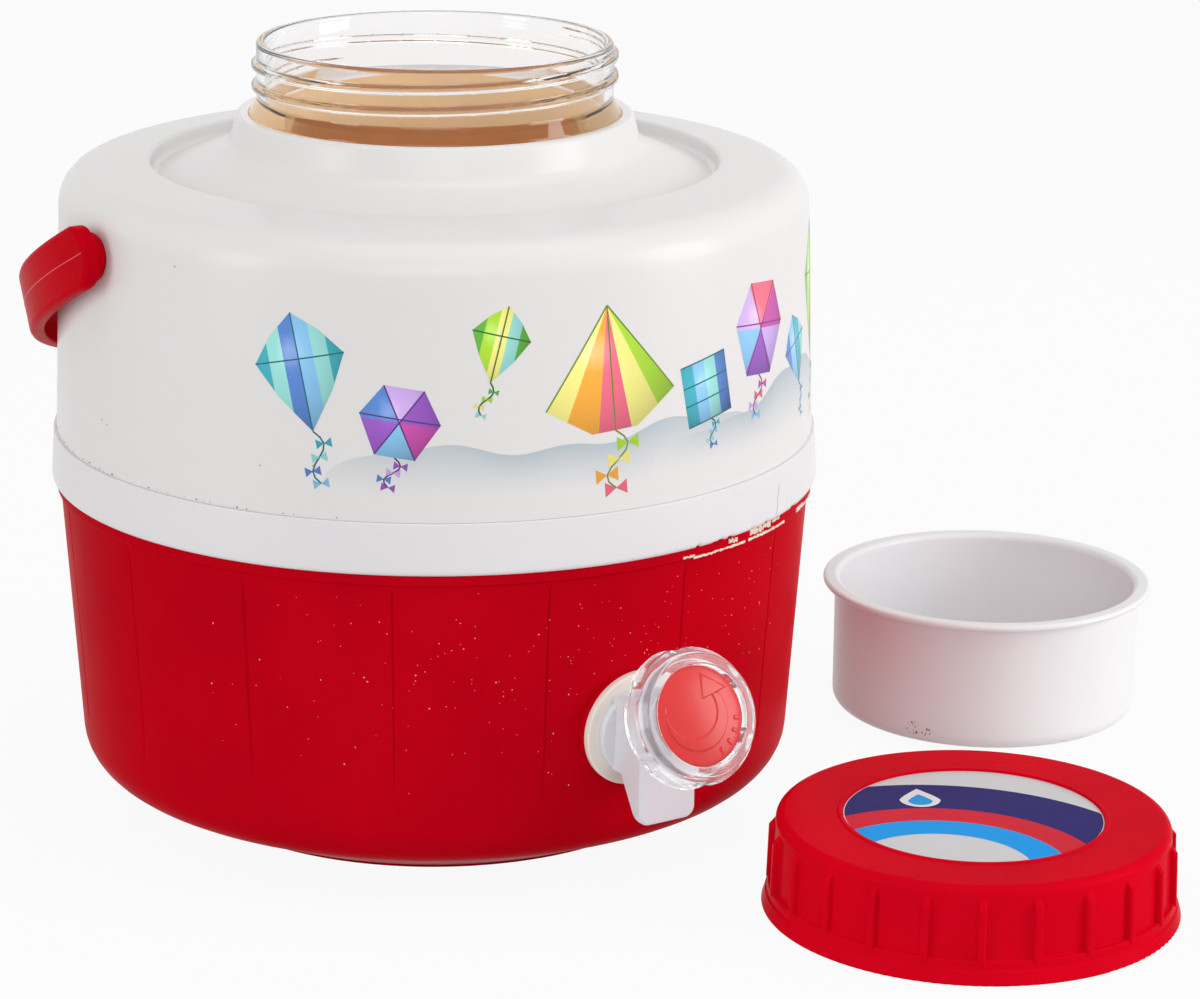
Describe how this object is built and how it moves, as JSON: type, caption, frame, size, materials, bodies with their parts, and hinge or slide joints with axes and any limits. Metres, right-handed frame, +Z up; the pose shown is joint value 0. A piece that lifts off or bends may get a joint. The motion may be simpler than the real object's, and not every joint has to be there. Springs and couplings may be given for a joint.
{
  "type": "insulated water jug",
  "caption": "Insulated drinks jug with a screw-valve tap, a swinging bail handle, and its screw cap and cup standing beside it",
  "frame": {"origin": "on the jug's upright axis at the floor, in the middle of the flat pad under its base", "axes": "+Z up along the jug's axis, the tap points to -Y, the handle swings about an axis along X"},
  "size_m": [0.3693, 0.3575, 0.2349],
  "materials": {
    "white_shell": "glossy",
    "white_band": "glossy",
    "white_cup": "satin",
    "red_plastic": "satin",
    "clear_plastic": "clear",
    "foam": "matt",
    "ivory_seal": "matt",
    "white_tap": "glossy",
    "black_rubber": "matt",
    "steel": "brushed",
    "white_liner": "satin",
    "silver_label": "satin"
  },
  "bodies": {
    "jug": {"upper_shell": "white_shell", "waist_band": "white_band", "lower_shell": "red_plastic", "foam_insulation": "foam", "foam_port_plug": "red_plastic", "inner_vessel": "clear_plastic", "pivot_socket_left": "white_shell", "pivot_socket_right": "white_shell", "tap_body": "white_tap", "tap_gasket": "ivory_seal", "tap_inner_washer": "ivory_seal", "tap_nut": "white_tap"},
    "bail": {"handle": "red_plastic"},
    "valve_stem": {"tap_stem": "white_tap", "stem_o_ring": "black_rubber", "valve_seal": "black_rubber"},
    "knob": {"tap_knob": "clear_plastic", "knob_insert": "red_plastic", "knob_screw": "steel"},
    "cap": {"cap_shell": "red_plastic", "cap_foam_disc": "foam", "cap_inner_plate": "white_liner", "cap_gasket": "ivory_seal", "cap_label": "silver_label"},
    "drinking_cup": {"cup": "white_cup"}
  },
  "joints": [
    {"name": "handle_swing", "type": "hinge", "parent": "jug", "child": "bail", "pos_m": [0, 0, 0.1815], "axis": [1, 0, 0], "range_deg": [0, 228.8]},
    {"name": "stem_travel", "type": "slide", "parent": "jug", "child": "valve_stem", "axis": [0, -0.9222, 0.3867], "range_m": [0, 0.002]},
    {"name": "knob_turn", "type": "hinge", "parent": "valve_stem", "child": "knob", "pos_m": [0, -0.11438, 0.05178], "axis": [0, -0.9222, 0.3867], "range_deg": [0, 180]},
    {"name": "cap_lift", "type": "slide", "parent": "jug", "child": "cap", "axis": [0, 0, 1], "range_m": [0, 0.25]},
    {"name": "cup_lift", "type": "slide", "parent": "jug", "child": "drinking_cup", "axis": [0, 0, 1], "range_m": [0, 0.25]}
  ],
  "couplings": [
    {"joint": "stem_travel", "follows": "knob_turn", "m_per_rad": 0.0006366}
  ]
}
